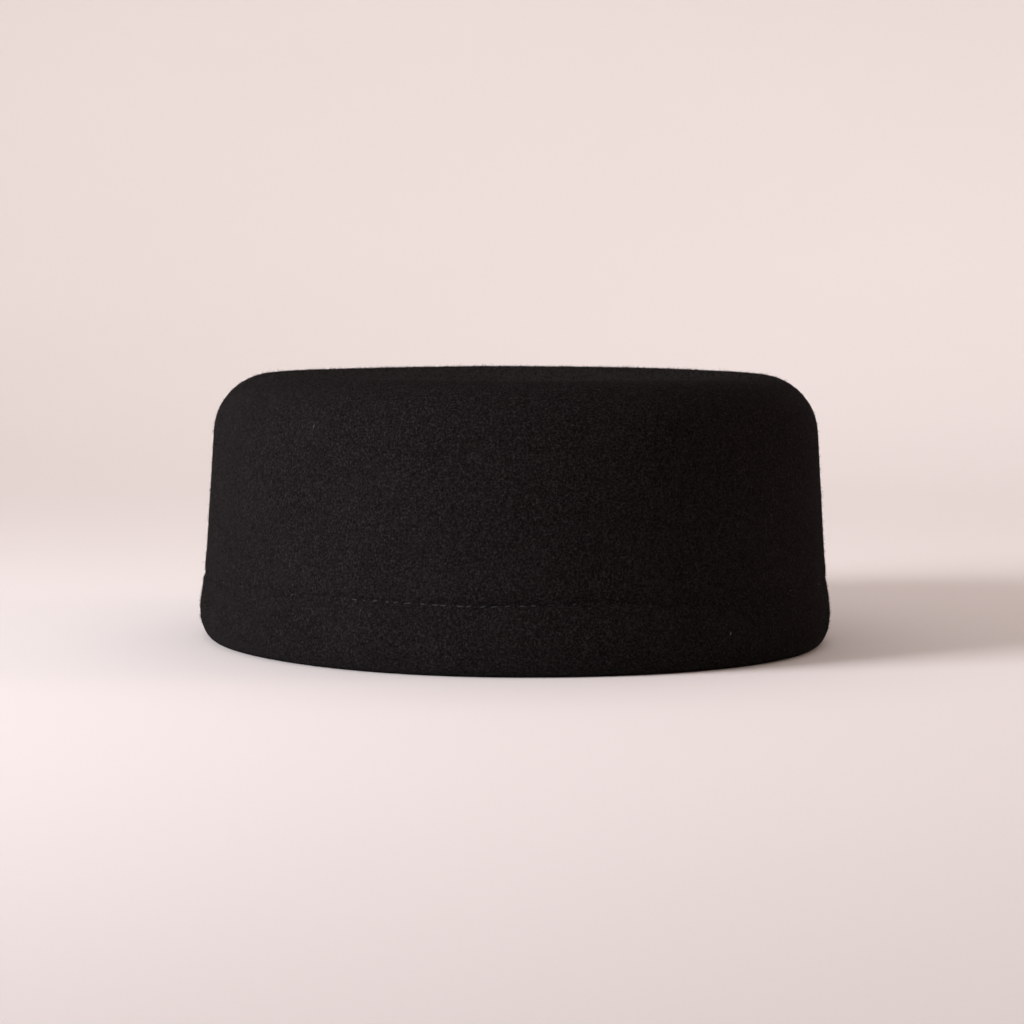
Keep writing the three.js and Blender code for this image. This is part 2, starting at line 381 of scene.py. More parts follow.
def facing_inset(z):
    """The turned-in felt on the head's side: a quarter ellipse up the rim's roll, then a quarter cosine
    from there in to where it lies on the wall."""
    below = np.clip(1 - z / HEM_WIDEST, 0, 1)
    rolled = ROLL_REACH * (1 - np.sqrt(1 - below ** 2))
    return HEM_DEPTH - rolled - (HEM_DEPTH - FACING_INSET) * (1 - np.cos(np.pi / 2 * above_widest(z)))


def felt_section():
    """The felt's section, a row for each ring: inset, height, reach, and 1 where it is the shown side
    of the wall. The outside runs from the top's middle over the rounded edge, down the wall, round the
    rim's roll and up the turned-in hem to its cut edge. The hidden side runs back from there to the
    middle, a felt's thickness away. The top is a parabola, its edge a circle, the rolls are quarter
    ellipses."""
    def rows(inset, z, reach=1.0, outside=0.0):
        """Some rings as rows, with a single value taken for all of them."""
        return np.stack(np.broadcast_arrays(inset, z, reach, outside), -1)

    def top(radius, reach, outside):
        """The top, which falls with the square of the way out from its middle."""
        dome = EDGE_Z + radius * math.cos(SLOPE) + TOP_DOME * (1 - reach ** 2)
        return rows(EDGE_INSET - radius * math.sin(SLOPE), dome, reach, outside)

    def edge(radius, turn, outside):
        """The top's rounded edge, an arc of that radius."""
        return rows(EDGE_INSET - radius * np.cos(turn), EDGE_Z + radius * np.sin(turn), 1, outside)

    reach = np.linspace(TOP_MIDDLE, 1, TOP_RINGS)
    turn = np.linspace(np.pi / 2 - SLOPE, LEAN, EDGE_RINGS)
    wall = np.linspace(WALL_TOP, WALL_RINGS_END, WALL_RINGS)[1:]
    down = np.concatenate([wall, SEAM_HEIGHTS, HEM_HEIGHTS])
    quarter = np.linspace(0, np.pi / 2, ROLL_RINGS)[1:]
    up = np.linspace(HEM_WIDEST, FACING_HEIGHT - CUT_ROUND, FACING_RINGS)[1:]
    half = np.linspace(0, np.pi, FACING_RINGS)[1:-1]
    back = np.linspace(HEM_WIDEST, WALL_TOP, BACK_RINGS)
    inner = TOP_EDGE_RADIUS - FELT
    return np.concatenate([
        top(TOP_EDGE_RADIUS, reach, 1),
        edge(TOP_EDGE_RADIUS, turn, 1)[1:],
        rows(wall_inset(down), down, 1, 1),
        rows(ROLL_REACH * (1 - np.cos(quarter)), HEM_WIDEST * (1 - np.sin(quarter)), 1, 1),
        rows(ROLL_REACH + REST_FLAT * np.array([0.5, 1]), 0),
        rows(HEM_DEPTH - ROLL_REACH * (1 - np.sin(quarter)), HEM_WIDEST * (1 - np.cos(quarter))),
        rows(facing_inset(up), up),
        rows(facing_inset(FACING_HEIGHT) - FELT * CUT_ACROSS, FACING_HEIGHT - CUT_DOWN),
        rows(facing_inset(up[::-1]) - FELT, up[::-1]),
        rows(HEM_DEPTH / 2 + (HEM_DEPTH / 2 - FELT) * np.cos(half),
             HEM_WIDEST - (HEM_WIDEST - FELT) * np.sin(half)),
        rows(wall_inset(back) + FELT, back),
        edge(inner, turn[::-2], 0)[1:],
        top(inner, reach[::-2], 0)[1:],
    ])


def felt_skin(along, section):
    """The felt's points, ring by station: each row of the section carried round the rim's oval. The
    wall follows the blocking, the hem its swell, the stitch line its own wander, with a bell-shaped
    groove that each stitch deepens and a wider bell that fills the seam out away from the front."""
    angle = angle_at(along)[None, :]
    inset, z, reach, outside = (column[:, None] for column in section.T)
    from_seam = z - STITCH_HEIGHT
    flat = inset - blocking(angle, z)
    wall = outside + (1 - outside) * (inset < HEM_DEPTH / 2)
    flat = flat - hem_swell(angle, z) * wall
    near = bell(from_seam, GROOVE_WIDTH) * outside * (reach >= 1)
    flat = flat + near * seam_groove(angle, along[None, :])
    fill = bell(from_seam, SIDE_EASE_WIDTH) * outside
    flat = flat - SIDE_EASE * fill * away_from_front(angle)
    shift = bell(from_seam, SEAM_REACH) * wall
    height = z + shift * (seam_height(angle) - STITCH_HEIGHT)
    height = height + np.where(z > EDGE_Z, wander(angle, *TOP_WANDER) * reach ** 2 * (1 - reach), 0)
    return on_hat(angle, flat, height, reach)


def band_skin(along):
    """The band's points, ring by station: a flat ring with round edges that follows the turned-in hem
    at a small gap and stands off from it beside the loop, in a soft step that fades out upwards. Fine
    upright ribs run across its head's side, as a cosine along its length that dies away over the round
    edges, and its lower edge waves a little."""
    round_edge = BAND_THICKNESS / 2
    low, high = BAND_BOTTOM + round_edge, BAND_TOP - round_edge
    edge = np.linspace(0, np.pi, BAND_EDGE_RINGS)
    side = np.linspace(low, high, BAND_SIDE_RINGS)
    across = np.concatenate([np.full(len(side), 1.0), np.cos(edge)[1:],
                             np.full(len(side) - 1, -1.0), -np.cos(edge)[1:-1]])[:, None]
    z = np.concatenate([side, high + round_edge * np.sin(edge)[1:],
                        side[::-1][1:], low - round_edge * np.sin(edge)[1:-1]])[:, None]
    angle = angle_at(along)[None, :]
    from_loop = LOOP_RADIUS * turn_from(angle, LOOP_ANGLE)
    open_way = np.where(from_loop > 0, OPEN_TOWARDS_FRONT, OPEN_TOWARDS_BACK)
    stand = BAND_STAND_OFF * eased(1 - np.abs(from_loop) / open_way)
    stand = stand * np.clip(1 - z / STAND_OFF_HEIGHT, 0, 1)
    rib = RIB_HEIGHT * np.cos(2 * np.pi * RIBS * along / SEAM_LENGTH)[None, :]
    flatness = np.clip((z - low) / RIB_FADE, 0, 1) * np.clip((high - z) / RIB_FADE, 0, 1)
    raised = rib * (RIB_AT_EDGE + (1 - RIB_AT_EDGE) * flatness)
    thickness = round_edge + np.where(across > 0.5, raised, 0)
    behind = facing_inset(np.maximum(z, low)) + LAYER_GAP + round_edge
    inset = behind + stand + across * thickness - blocking(angle, z)
    lower = np.clip(1 - (z - BAND_BOTTOM) / BAND_WAVE_REACH, 0, 1)
    return on_hat(angle, inset, z + lower * (BAND_LIFT + wander(angle, *BAND_WANDER)))


def smooth_path(points, steps):
    """A Catmull-Rom curve through the points: between neighbours, the cubic whose slope at each point
    is half the way from the point before it to the one after. Returns the curve's points."""
    ends = np.concatenate([[2 * points[0] - points[1]], points, [2 * points[-1] - points[-2]]])
    t = np.arange(steps)[:, None] / steps
    a, b, c, d = (ends[i:len(ends) - 3 + i, None] for i in range(4))
    square, cube = 2 * a - 5 * b + 4 * c - d, 3 * b - a - 3 * c + d
    curve = 0.5 * (2 * b + (c - a) * t + square * t ** 2 + cube * t ** 3)
    return np.concatenate([curve.reshape(-1, 3), points[-1:]])


def cord_skin(path, radius, sides, plies=2, lay=0.0, groove=0.0):
    """A cord's points, ring by ring along its path. The section is turned with the path so that it
    doesn't spin, and its radius swells and sinks as a cosine with one lobe for each ply, which goes
    round once in each length of lay. radius may be one number or one for each point of the path."""
    ahead = np.gradient(path, axis=0)
    ahead /= np.linalg.norm(ahead, axis=1, keepdims=True)
    never_along = np.array([0.12, 0.07, 1.0])
    aside = np.cross(ahead, never_along)
    aside /= np.linalg.norm(aside, axis=1, keepdims=True)
    above = np.cross(aside, ahead)
    along = np.concatenate([[0], np.cumsum(np.linalg.norm(np.diff(path, axis=0), axis=1))])
    around = even_turns(sides)
    twist = 2 * np.pi * along / lay if lay else np.zeros(len(path))
    lobes = np.abs(np.cos(plies / 2 * (around[None, :] - twist[:, None])))
    size = np.broadcast_to(radius, len(path))[:, None] * (1 - groove + groove * lobes)
    return path[:, None] + size[..., None] * (np.cos(around)[None, :, None] * aside[:, None]
                                              + np.sin(around)[None, :, None] * above[:, None])


# Meshes

def put_mesh(name, points, quads, triangles, **maps):
    """A piece from arrays of points, four-sided and three-sided faces, all smooth. Each map holds a UV
    pair for every corner, four-sided faces first."""
    mesh = bpy.data.meshes.new(name)
    corners = np.concatenate([quads.ravel(), triangles.ravel()]).astype(np.int32)
    starts = np.concatenate([np.arange(len(quads)) * 4, len(quads) * 4 + np.arange(len(triangles)) * 3])
    mesh.vertices.add(len(points))
    mesh.vertices.foreach_set("co", points.astype(np.float32).ravel())
    mesh.loops.add(len(corners))
    mesh.loops.foreach_set("vertex_index", corners)
    mesh.polygons.add(len(starts))
    mesh.polygons.foreach_set("loop_start", starts.astype(np.int32))
    mesh.update(calc_edges=True)
    mesh.polygons.foreach_set("use_smooth", np.ones(len(starts), bool))
    for label, pairs in maps.items():
        mesh.uv_layers.new(name=label).data.foreach_set("uv", pairs.astype(np.float32).ravel())
    piece = bpy.data.objects.new(name, mesh)
    bpy.context.collection.objects.link(piece)
    return piece


def ring_faces(rings, stations, closed):
    """The faces of a grid whose stations go round: quads between each ring and the next, and also
    between the last and the first where the section is closed."""
    i = np.arange(rings if closed else rings - 1)[:, None]
    j = np.arange(stations)[None, :]
    below, beside = (i + 1) % rings, (j + 1) % stations
    corners = (i * stations + j, below * stations + j, below * stations + beside, i * stations + beside)
    return np.stack(corners, -1).reshape(-1, 4)


def end_fans(rings, stations, first, last):
    """The three-sided faces that close a grid's two ends against the points numbered first and last."""
    j = np.arange(stations)
    beside, low = (j + 1) % stations, (rings - 1) * stations
    top = np.stack([np.full(stations, first), j, beside], -1)
    foot = np.stack([np.full(stations, last), low + beside, low + j], -1)
    return np.concatenate([top, foot])


def capped_cords(skins):
    """Many cords of the same count of rings and sides as one set of points and faces: each grid of
    rings is closed at its ends by a fan to the middle of its first and last ring. skins is cords x
    rings x sides x 3."""
    cords, rings, sides = skins.shape[:3]
    ends = skins[:, [0, -1]].mean(axis=2)
    points = np.concatenate([skins.reshape(cords, -1, 3), ends], 1)
    each = points.shape[1]
    offset = (np.arange(cords) * each)[:, None, None]
    quads = ring_faces(rings, sides, False)[None] + offset
    fans = end_fans(rings, sides, each - 2, each - 1)[None] + offset
    return points.reshape(-1, 3), quads.reshape(-1, 4), fans.reshape(-1, 3)


def strip_map(levels, stations, strips):
    """A flat map of a grid whose stations go round, cut into that many equal strips that lie above each
    other. levels gives the place of each ring across the strip, from 0 to 1, with one more at the end
    for a closed section."""
    j = np.arange(stations)[None, :]
    strip = j * strips // stations
    left, right = j * strips / stations - strip, (j + 1) * strips / stations - strip
    right = np.minimum(right, 1)
    low, high = levels[:-1, None], levels[1:, None]
    across = np.stack([low, high, high, low], -1)
    u = np.stack([left, left, right, right], -1)
    v = (strip[..., None] + STRIP_MARGIN + (1 - 2 * STRIP_MARGIN) * across) / strips
    return np.stack(np.broadcast_arrays(u, v), -1).reshape(-1, 2)


def cell_map(pairs, cells):
    """Puts the maps of many like shapes side by side: each has its own square cell, which it fills but
    for a margin. pairs is the corners of one shape, within 0 to 1."""
    across = math.ceil(math.sqrt(cells))
    cell = np.stack([np.arange(cells) % across, np.arange(cells) // across], -1)[:, None]
    return ((cell + CELL_MARGIN + (1 - 2 * CELL_MARGIN) * pairs[None]) / across).reshape(-1, 2)


def cord_maps(cords, rings, sides):
    """The maps of capped cords. In spread each goes from 0 to 1 round the cord and along it, and its
    end caps take a little more at both ends. OFBake has the same, with a cell for each cord."""
    quads = strip_map(np.linspace(0, 1, rings), sides, 1)
    quads[:, 1] = (quads[:, 1] - STRIP_MARGIN) / (1 - 2 * STRIP_MARGIN)
    near = np.arange(sides) / sides
    middle, far = near + 0.5 / sides, near + 1 / sides
    foot, head = np.zeros(sides), np.ones(sides)
    start = np.stack([middle, foot - CAP, near, foot, far, foot], -1)
    end = np.stack([middle, head + CAP, far, head, near, head], -1)
    fans = np.concatenate([start, end]).reshape(-1, 2)
    inside = [(part + (0, CAP)) / (1, 1 + 2 * CAP) for part in (quads, fans)]
    return {"spread": np.concatenate([np.tile(part, (cords, 1)) for part in (quads, fans)]),
            "OFBake": np.concatenate([cell_map(part, cords) for part in inside])}


def finish_piece(piece, material, slot, *stands_for):
    """Gives a piece its finish and ties it to the hat, in place of the solids that it stands for."""
    piece.data.materials.append(material)
    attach(piece, "root")
    if stands_for:
        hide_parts(*stands_for)


# Finishes

def add_node(tree, kind, **settings):
    """A node of that kind in a material or group, with its settings."""
    node = tree.nodes.new(kind)
    for name, value in settings.items():
        setattr(node, name, value)
    return node


def feed(tree, socket, value):
    """Joins a socket to another node's output, or sets it to a plain value."""
    if isinstance(value, bpy.types.NodeSocket):
        tree.links.new(value, socket)
    else:
        socket.default_value = value


def sum_of(tree, operation, *values, clamp=False):
    """A maths node on the given values or sockets; returns its result."""
    node = add_node(tree, "ShaderNodeMath", operation=operation, use_clamp=clamp)
    for socket, value in zip(node.inputs, values):
        feed(tree, socket, value)
    return node.outputs[0]


def wave(tree, turns):
    """A cosine between 0 and 1, which goes through one wave in each turn; returns its value."""
    phase = sum_of(tree, "MULTIPLY", turns, 2 * math.pi)
    return sum_of(tree, "MULTIPLY_ADD", sum_of(tree, "COSINE", phase), 0.5, 0.5)


def noise(tree, place, scale, detail, roughness=0.5, distortion=0.0):
    """A cloudy pattern over the given place; returns its value."""
    node = add_node(tree, "ShaderNodeTexNoise")
    feed(tree, node.inputs["Vector"], place)
    feed(tree, node.inputs["Scale"], scale)
    feed(tree, node.inputs["Detail"], detail)
    feed(tree, node.inputs["Roughness"], roughness)
    feed(tree, node.inputs["Distortion"], distortion)
    return node.outputs[0]


def blend(tree, share, first, second):
    """A mix of two colours by share; returns the colour."""
    node = add_node(tree, "ShaderNodeMix", data_type="RGBA")
    feed(tree, node.inputs["Factor"], share)
    feed(tree, node.inputs[6], first)
    feed(tree, node.inputs[7], second)
    return node.outputs[2]


def parts_of(tree, vector):
    """The parts of a vector, each a value of its own."""
    split = add_node(tree, "ShaderNodeSeparateXYZ")
    feed(tree, split.inputs[0], vector)
    return split.outputs


def new_effect(name, inputs, outputs):
    """An empty node group with named inputs and outputs; returns it with its two end nodes."""
    group = bpy.data.node_groups.new(name, "ShaderNodeTree")
    for label, kind in inputs:
        group.interface.new_socket(name=label, in_out="INPUT", socket_type=kind)
    for label, kind in outputs:
        group.interface.new_socket(name=label, in_out="OUTPUT", socket_type=kind)
    return group, group.nodes.new("NodeGroupInput"), group.nodes.new("NodeGroupOutput")


# Wool: how coarse its clumps, hairs and mottle are beside the fibre grain, and how they add up
CLUMP_SCALE = 0.4
HAIR_SCALE = 1.4
MOTTLE_SCALE = 0.03
GRAIN_BEND = 0.4
HAIR_BEND = 0.6
HAIR_WIDTH = 0.06
HAIR_STRETCH = 0.14
HAIR_LAYS = (((0.3, 0.2, 0.7), (1, HAIR_STRETCH, 1)),
             ((0.9, 0.5, 2.1), (1, 1, HAIR_STRETCH)),
             ((2.0, 1.1, 0.2), (HAIR_STRETCH, 1, 1)))
GRAIN_SHARE = 0.85
CLUMP_SHARE = 0.15
WOOL_CONTRAST = 1.1
WOOL_MIDDLE = 0.46
HAIR_SHADE = 0.15
HAIR_HEIGHT = 0.35
SHADE_POWER = 3.0


def wool_tangle():
    """Matted wool: soft clumps, a fine fibre grain, and thin bent hairs lying three ways, each hair
    being where a drawn-out noise passes its middle value. Shade runs from the dark ground to the few
    light fibres, as a power of the pattern, Nap is their height, and Mottle the slow change of tone
    over the felt."""
    group, given, put = new_effect(
        "wool tangle", [("Place", "NodeSocketVector"), ("Fibre", "NodeSocketFloat")],
        [("Shade", "NodeSocketFloat"), ("Nap", "NodeSocketFloat"), ("Mottle", "NodeSocketFloat")])
    place, fibre = given.outputs["Place"], given.outputs["Fibre"]
    clumps = noise(group, place, sum_of(group, "MULTIPLY", fibre, CLUMP_SCALE), detail=2)
    grain = noise(group, place, fibre, detail=1, distortion=GRAIN_BEND)
    hairs = 0.0
    for turn, stretch in HAIR_LAYS:
        laid = add_node(group, "ShaderNodeMapping")
        feed(group, laid.inputs["Vector"], place)
        laid.inputs["Rotation"].default_value = turn
        laid.inputs["Scale"].default_value = stretch
        finer = sum_of(group, "MULTIPLY", fibre, HAIR_SCALE)
        ridge = noise(group, laid.outputs[0], finer, detail=1, distortion=HAIR_BEND)
        off = sum_of(group, "ABSOLUTE", sum_of(group, "SUBTRACT", ridge, 0.5))
        hair = sum_of(group, "SUBTRACT", 1.0, sum_of(group, "DIVIDE", off, HAIR_WIDTH), clamp=True)
        hairs = sum_of(group, "MAXIMUM", hairs, hair)
    soft = sum_of(group, "MULTIPLY", clumps, CLUMP_SHARE)
    body = sum_of(group, "MULTIPLY_ADD", grain, GRAIN_SHARE, soft)
    centred = sum_of(group, "SUBTRACT", body, 0.5)
    contrast = sum_of(group, "MULTIPLY_ADD", centred, WOOL_CONTRAST, WOOL_MIDDLE)
    pattern = sum_of(group, "MULTIPLY_ADD", hairs, HAIR_SHADE, contrast, clamp=True)
    coarser = sum_of(group, "MULTIPLY", fibre, MOTTLE_SCALE)
    feed(group, put.inputs["Shade"], sum_of(group, "POWER", pattern, SHADE_POWER))
    feed(group, put.inputs["Nap"], sum_of(group, "MULTIPLY_ADD", hairs, HAIR_HEIGHT, body))
    feed(group, put.inputs["Mottle"], noise(group, place, coarser, detail=3, roughness=0.6))
    return group


# Twisted thread: the shares of the plies' painted groove shade and of loose fibres in its tone, and how
# fine the fibres are
PLY_SHADE = 0.65
LOOSE_SHADE = 0.5
LOOSE_SCALE = 9


def plied_twist():
    """Twisted thread: slanting stripes, one for each ply, worked out as the cosine of the place round
    the thread plus the way along it. Shade runs from painted shade in the grooves to the crowns of the
    plies, with loose fibres in it."""
    group, given, put = new_effect(
        "plied twist", [("Round and along", "NodeSocketVector"), ("Plies", "NodeSocketFloat"),
                        ("Turns", "NodeSocketFloat")], [("Shade", "NodeSocketFloat")])
    place = given.outputs["Round and along"]
    place_parts = parts_of(group, place)
    turns = sum_of(group, "MULTIPLY_ADD", place_parts[1], given.outputs["Turns"], place_parts[0])
    # Painted shade: each stripe darkens the grooves between the plies
    stripe = wave(group, sum_of(group, "MULTIPLY", turns, given.outputs["Plies"]))
    fibres = noise(group, place, LOOSE_SCALE, detail=3, roughness=0.6)
    loose = sum_of(group, "MULTIPLY", fibres, LOOSE_SHADE)
    shade = sum_of(group, "MULTIPLY_ADD", stripe, PLY_SHADE, loose, clamp=True)
    feed(group, put.inputs["Shade"], shade)
    return group


WOOL = wool_tangle()
TWIST = plied_twist()
SHEEN_ROUGHNESS = 0.4
GRAIN_STRENGTH = 0.7


def new_finish(name, specular, sheen=0.0):
    """A material with its shader, whose values that are the same all over are set on it; returns it,
    its nodes and the shader."""
    material = bpy.data.materials.new(name)
    material.use_nodes = True
    tree = material.node_tree
    shader = tree.nodes["Principled BSDF"]
    shader.inputs["Specular IOR Level"].default_value = specular
    shader.inputs["Sheen Weight"].default_value = sheen
    shader.inputs["Sheen Roughness"].default_value = SHEEN_ROUGHNESS
    return material, tree, shader


def raise_grain(tree, shader, height, depth):
    """Lets a height pattern of that depth, in metres, stand up from the surface."""
    bump = add_node(tree, "ShaderNodeBump")
    bump.inputs["Strength"].default_value = GRAIN_STRENGTH
    bump.inputs["Distance"].default_value = depth
    feed(tree, bump.inputs["Height"], height)
    feed(tree, shader.inputs["Normal"], bump.outputs[0])


def place_effect(tree, group, **values):
    """A node group placed in a material with its own values; returns its outputs."""
    node = add_node(tree, "ShaderNodeGroup", node_tree=group)
    for name, value in values.items():
        feed(tree, node.inputs[name.replace("_", " ")], value)
    return node.outputs


def object_place(tree):
    """The place on the piece, in metres."""
    return add_node(tree, "ShaderNodeTexCoord").outputs["Object"]


def spread_place(tree):
    """The place on the piece's own map, round or along it and across."""
    return add_node(tree, "ShaderNodeUVMap", uv_map="spread").outputs[0]


# The felt: fibres in a metre, how far it mottles, how much smoother light fibres are, and its relief
FELT_FIBRE = 1700.0
FELT_MOTTLE = 0.08
FIBRE_POLISH = -0.12
FELT_GRAIN = 0.1 * MM


def felt_finish(name, dark, light):
    """Black wool felt: matted fibres from dark to light, slowly mottled and quite matt."""
    material, tree, shader = new_finish(name, specular=0.02)
    wool = place_effect(tree, WOOL, Place=object_place(tree), Fibre=FELT_FIBRE)
    mottle = sum_of(tree, "SUBTRACT", wool["Mottle"], 0.5)
    tone = sum_of(tree, "MULTIPLY_ADD", mottle, FELT_MOTTLE, wool["Shade"], clamp=True)
    matt = sum_of(tree, "MULTIPLY_ADD", wool["Shade"], FIBRE_POLISH, 1.0)
    feed(tree, shader.inputs["Base Color"], blend(tree, tone, dark, light))
    feed(tree, shader.inputs["Roughness"], matt)
    raise_grain(tree, shader, wool["Nap"], FELT_GRAIN)
    return material


TWIST_ROUGHNESS = 0.75
TWIST_GRAIN = 0.08 * MM


def twist_finish(name, dark, light, plies, turns, sheen, shaded_ends=0.0):
    """A twisted thread or cord, with painted shade in the grooves between its plies. shaded_ends is the
    share of its length over which each end falls to the dark tone, a painted shade where it goes down
    into the felt."""
    material, tree, shader = new_finish(name, specular=0.3, sheen=sheen)
    spread = spread_place(tree)
    shade = place_effect(tree, TWIST, Round_and_along=spread, Plies=plies, Turns=turns)["Shade"]
    tone = shade
    # Painted shade: the ends darken where the thread goes down into the felt
    if shaded_ends:
        along = parts_of(tree, spread)[1]
        from_end = sum_of(tree, "MINIMUM", along, sum_of(tree, "SUBTRACT", 1.0, along))
        clear = sum_of(tree, "DIVIDE", from_end, shaded_ends, clamp=True)
        tone = sum_of(tree, "MULTIPLY", shade, clear)
    feed(tree, shader.inputs["Base Color"], blend(tree, tone, dark, light))
    feed(tree, shader.inputs["Roughness"], TWIST_ROUGHNESS)
    raise_grain(tree, shader, shade, TWIST_GRAIN)
    return material


# The ribbon: fibres in a metre, shares of the painted shade between ribs and between cross threads and
# of fibres in its tone, and its relief
RIBBON_FIBRE = 2200.0
RIB_SHADE = 0.5
CROSS_SHADE = 0.3
RIBBON_FIBRE_SHADE = 0.8
RIBBON_ROUGHNESS = 0.85
RIBBON_GRAIN = 0.1 * MM


def ribbon_finish(name, dark, light):
    """Ribbed ribbon: darker between its upright ribs and between its fine cross threads, as painted
    shade, with faint fibres.
    """
    material, tree, shader = new_finish(name, specular=0.1, sheen=0.02)
    spread = parts_of(tree, spread_place(tree))
    # Painted shade: darker between the ribs and between the cross threads
    ribs = sum_of(tree, "MULTIPLY", wave(tree, spread[0]), RIB_SHADE)
    weave = sum_of(tree, "MULTIPLY_ADD", wave(tree, spread[1]), CROSS_SHADE, ribs)
    wool = place_effect(tree, WOOL, Place=object_place(tree), Fibre=RIBBON_FIBRE)
    tone = sum_of(tree, "MULTIPLY_ADD", wool["Shade"], RIBBON_FIBRE_SHADE, weave, clamp=True)
    feed(tree, shader.inputs["Base Color"], blend(tree, tone, dark, light))
    feed(tree, shader.inputs["Roughness"], RIBBON_ROUGHNESS)
    raise_grain(tree, shader, weave, RIBBON_GRAIN)
    return material


FELT_FINISH = felt_finish("black felt", dark=(0.0025, 0.0021, 0.00215, 1),
                          light=(0.0348, 0.0294, 0.03, 1))
NAP_FINISH = felt_finish("felt nap", dark=(0.0034, 0.0028, 0.0029, 1),
                         light=(0.024, 0.0198, 0.0204, 1))
# The thread's dark tone is painted shade, in its ply grooves and at its ends in the felt
THREAD_FINISH = twist_finish("sewing thread", dark=(0.001, 0.001, 0.0009, 1),
                             light=(0.0215, 0.021, 0.0195, 1),
                             plies=2.0, turns=3.0, sheen=0.03, shaded_ends=0.45)
CORD_FINISH = twist_finish("loop cord", dark=(0.0125, 0.0103, 0.0108, 1),
                           light=(0.047, 0.0385, 0.041, 1), plies=2.0, turns=8.0, sheen=0.08)
LINT_FINISH = twist_finish("pale lint", dark=(0.06, 0.056, 0.055, 1),
                           light=(0.14, 0.13, 0.128, 1), plies=1.0, turns=2.0, sheen=0.1)
RIBBON_FINISH = ribbon_finish("ribbed ribbon", dark=(0.0016, 0.0011, 0.001, 1),
                              light=(0.0075, 0.0056, 0.005, 1))


def felt_map():
    """The felt's flat map: two strips, one for each half round. Across them the rings lie as far apart
    as on the felt, and the hidden side has a quarter of that. The fans at the two middles take the
    strips' edges."""
    steps = np.linalg.norm(np.diff(felt_points[:, 0], axis=0), axis=1)
    hidden = np.arange(len(steps)) > felt_rows[:, 3].sum() + FACING_MAPPED
    steps = steps * np.where(hidden, HIDDEN_SHARE, 1)
    way = np.concatenate([[0], np.cumsum(steps)])
    levels = FELT_MARGIN + (1 - 2 * FELT_MARGIN) * way / steps.sum()
    quads = strip_map(levels, STATIONS, FELT_STRIPS)
    by_face = quads.reshape(felt_rings - 1, STATIONS, 4, 2)
    first, last = by_face[0], by_face[-1]
    top = np.stack([(first[:, 0] + first[:, 3]) / 2 - (0, FAN_EDGE), first[:, 0], first[:, 3]], 1)
    foot = np.stack([(last[:, 1] + last[:, 2]) / 2 + (0, FAN_EDGE), last[:, 2], last[:, 1]], 1)
    return np.concatenate([quads, top.reshape(-1, 2), foot.reshape(-1, 2)])


# The felt hat, in one piece from the top's middle round the hem and back inside
STATIONS = STITCH_STATIONS * STITCHES
felt_along = (np.arange(STATIONS) / STITCH_STATIONS + 0.5) * SEAM_LENGTH / STITCHES
felt_rows = felt_section()
felt_points = felt_skin(felt_along, felt_rows)
felt_rings = len(felt_rows)
felt_count = felt_rings * STATIONS
middles = np.stack([felt_points[0].mean(axis=0), felt_points[-1].mean(axis=0)])
felt_hat = put_mesh("felt_hat", np.concatenate([felt_points.reshape(-1, 3), middles]),
                    ring_faces(felt_rings, STATIONS, False),
                    end_fans(felt_rings, STATIONS, felt_count, felt_count + 1), OFBake=felt_map())
finish_piece(felt_hat, FELT_FINISH, "felt", "felt_crown")


def sewn_stitches():
    """The hem's stitches: each a short round thread along the stitch line, a little tilted and uneven.
    Its depth grows with the fourth power of the way from its middle, so that both ends go down into the
    groove, and away from the front the felt closes over it more."""
    share = np.linspace(-1, 1, STITCH_RINGS)
    along = STITCH_AT[:, None] + STITCH_HALF[:, None] * share
    angle = angle_at(along)
    tilt = (STITCH_TILT + sewing.uniform(-TILT_STRAY, TILT_STRAY, STITCHES)) * MM
    side = to_the_sides(angle_at(STITCH_AT), SHOWN_AT, SHOWN_REACH)
    lost = sewing.random(STITCHES) < LOST_AT_FRONT + LOST_AT_SIDES * side
    buried = SIDE_SINK * side + sewing.uniform(*SINK_STRAY, STITCHES) + LOST_SINK * lost
    sunk = THREAD * (END_DIP * share ** 4 - STITCH_RISE + buried[:, None])
    groove = HEM_PUFF + seam_groove(angle, along) - SIDE_EASE * away_from_front(angle)
    groove = groove - blocking(angle, STITCH_HEIGHT)
    centre = on_hat(angle, groove + sunk, seam_height(angle) + tilt[:, None] * share)
    outward = np.concatenate([rim_oval(angle)[1], np.zeros(angle.shape + (1,))], -1)
    upward = np.array([0, 0, 1.0])
    around = even_turns(STITCH_SIDES)[:, None]
    radius = 0.5 * THREAD * np.sqrt(1 - END_TAPER * share ** 6)
    skins = centre[:, :, None] + radius[None, :, None, None] * (
        np.cos(around) * outward[:, :, None] + np.sin(around) * upward)
    return capped_cords(skins)


stitch_maps = cord_maps(STITCHES, STITCH_RINGS, STITCH_SIDES)
hem_stitches = put_mesh("hem_stitches", *sewn_stitches(), **stitch_maps)
finish_piece(hem_stitches, THREAD_FINISH, "felt")

# The ribbed band inside the rim
BAND_STATIONS = RIB_STATIONS * RIBS
band_along = np.arange(BAND_STATIONS) * SEAM_LENGTH / BAND_STATIONS
band_points = band_skin(band_along)
band_rings = len(band_points)
rib_at = np.tile(np.arange(BAND_STATIONS) / RIB_STATIONS, band_rings)
thread_at = band_points[:, :, 2].ravel() / RIBBON_THREAD
band_faces = ring_faces(band_rings, BAND_STATIONS, True)
band_spread = np.stack([rib_at[band_faces], thread_at[band_faces]], -1)
band_spread[..., 0] += np.where(band_spread[..., 0] < band_spread[:, :1, 0], RIBS, 0)
band_map = strip_map(np.linspace(0, 1, band_rings + 1), BAND_STATIONS, BAND_STRIPS)
ribbon_band = put_mesh("ribbon_band", band_points.reshape(-1, 3), band_faces, np.zeros((0, 3), int),
                       spread=band_spread, OFBake=band_map)
finish_piece(ribbon_band, RIBBON_FINISH, "band_cloth", "inner_band")


